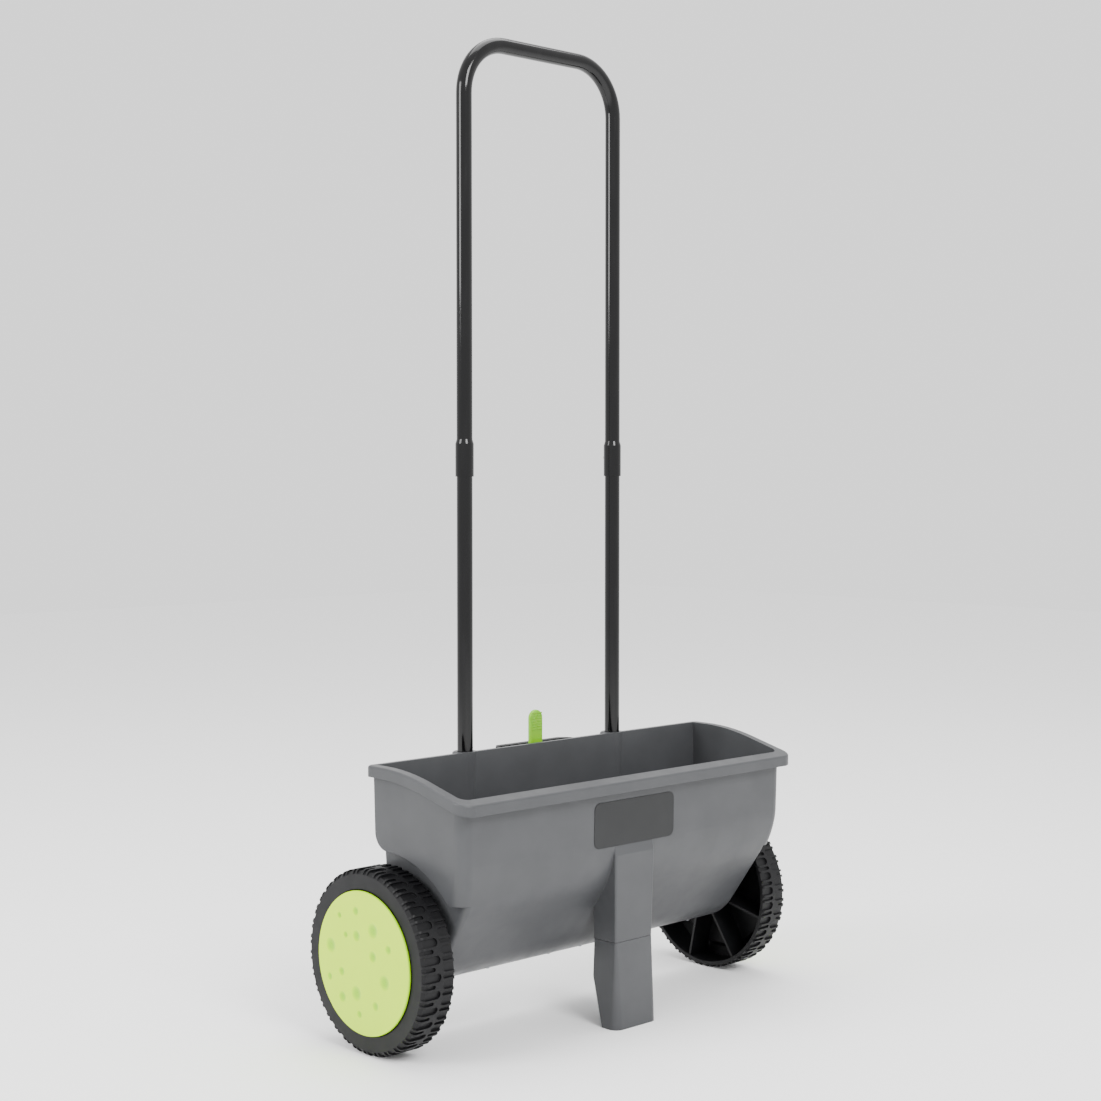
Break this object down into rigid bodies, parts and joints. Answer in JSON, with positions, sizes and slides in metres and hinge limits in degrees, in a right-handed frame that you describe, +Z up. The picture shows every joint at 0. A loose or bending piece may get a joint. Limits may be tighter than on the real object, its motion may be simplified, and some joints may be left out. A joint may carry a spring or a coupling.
{
  "type": "lawn spreader",
  "caption": "Walk-behind drop spreader: open grey hopper between two dished wheels, front foot, swinging rate lever and a tall bent-tube push handle.",
  "frame": {"origin": "middle of the bounding box's bottom face, on the ground", "axes": "+Z up, +Y towards the person pushing, +X along the axle towards the free wheel"},
  "size_m": [0.5866, 0.232, 1.115],
  "materials": {
    "hopper_plastic": "satin moulded polypropylene, grey",
    "wheel_plastic": "hard moulded plastic, near black",
    "cap_plastic": "smooth moulded plastic, pale lime",
    "lever_plastic": "smooth moulded plastic, lime",
    "black_plastic": "fine-grained moulded plastic, black",
    "bush_nylon": "machined nylon, off-white",
    "tube_enamel": "gloss black enamel on steel tube",
    "axle_steel": "drawn bright steel",
    "shutter_steel": "galvanised sheet steel",
    "spring_steel": "blued spring steel",
    "plated_fasteners": "zinc-plated steel",
    "button_steel": "polished plated steel"
  },
  "bodies": {
    "frame": {"hopper": "hopper_plastic", "foot": "hopper_plastic", "foot_screws": "plated_fasteners", "metering_plate": "black_plastic", "front_rail": "black_plastic", "rear_rail_left": "black_plastic", "rear_rail_right": "black_plastic", "rail_screws": "plated_fasteners", "axle_bush_left": "bush_nylon", "axle_bush_right": "bush_nylon", "lever_guide": "black_plastic", "guide_screws": "plated_fasteners", "lever_bolt": "plated_fasteners", "lever_washers": "plated_fasteners", "lower_tube_left": "tube_enamel", "lower_tube_right": "tube_enamel", "tube_screws": "plated_fasteners", "upper_handle": "tube_enamel", "button_spring_left": "spring_steel", "button_spring_right": "spring_steel"},
    "axle_set": {"axle": "axle_steel", "agitator": "black_plastic", "agitator_pins": "axle_steel", "thrust_washers": "plated_fasteners", "axle_clips": "spring_steel", "drive_pin": "axle_steel", "drive_wheel": "wheel_plastic", "drive_wheel_cap": "cap_plastic"},
    "free_wheel_set": {"free_wheel": "wheel_plastic", "free_wheel_cap": "cap_plastic"},
    "lever_body": {"lever": "lever_plastic"},
    "shutter_body": {"shutter": "shutter_steel", "shutter_pin": "axle_steel"},
    "snap_button_left_body": {"snap_button_left": "button_steel"},
    "snap_button_right_body": {"snap_button_right": "button_steel"}
  },
  "joints": [
    {"name": "axle_spin", "type": "hinge", "parent": "frame", "child": "axle_set", "pos_m": [0, 0.016, 0.1], "axis": [1, 0, 0], "continuous": true},
    {"name": "free_wheel_spin", "type": "hinge", "parent": "frame", "child": "free_wheel_set", "pos_m": [0, 0.016, 0.1], "axis": [1, 0, 0], "continuous": true},
    {"name": "lever_swing", "type": "hinge", "parent": "frame", "child": "lever_body", "pos_m": [0, 0.0591, 0.106], "axis": [0, 1, 0], "range_deg": [-13, 13]},
    {"name": "shutter_slide", "type": "slide", "parent": "frame", "child": "shutter_body", "axis": [1, 0, 0], "range_m": [-0.0069, 0.0069]},
    {"name": "snap_button_left_press", "type": "slide", "parent": "frame", "child": "snap_button_left_body", "axis": [0, -1, 0], "range_m": [0, 0.0042], "stiffness_N_per_m": 700, "springref_m": -0.002, "deforming": ["button_spring_left"]},
    {"name": "snap_button_right_press", "type": "slide", "parent": "frame", "child": "snap_button_right_body", "axis": [0, -1, 0], "range_m": [0, 0.0042], "stiffness_N_per_m": 700, "springref_m": -0.002, "deforming": ["button_spring_right"]}
  ],
  "couplings": [
    {"joint": "shutter_slide", "follows": "lever_swing", "m_per_rad": -0.03}
  ]
}
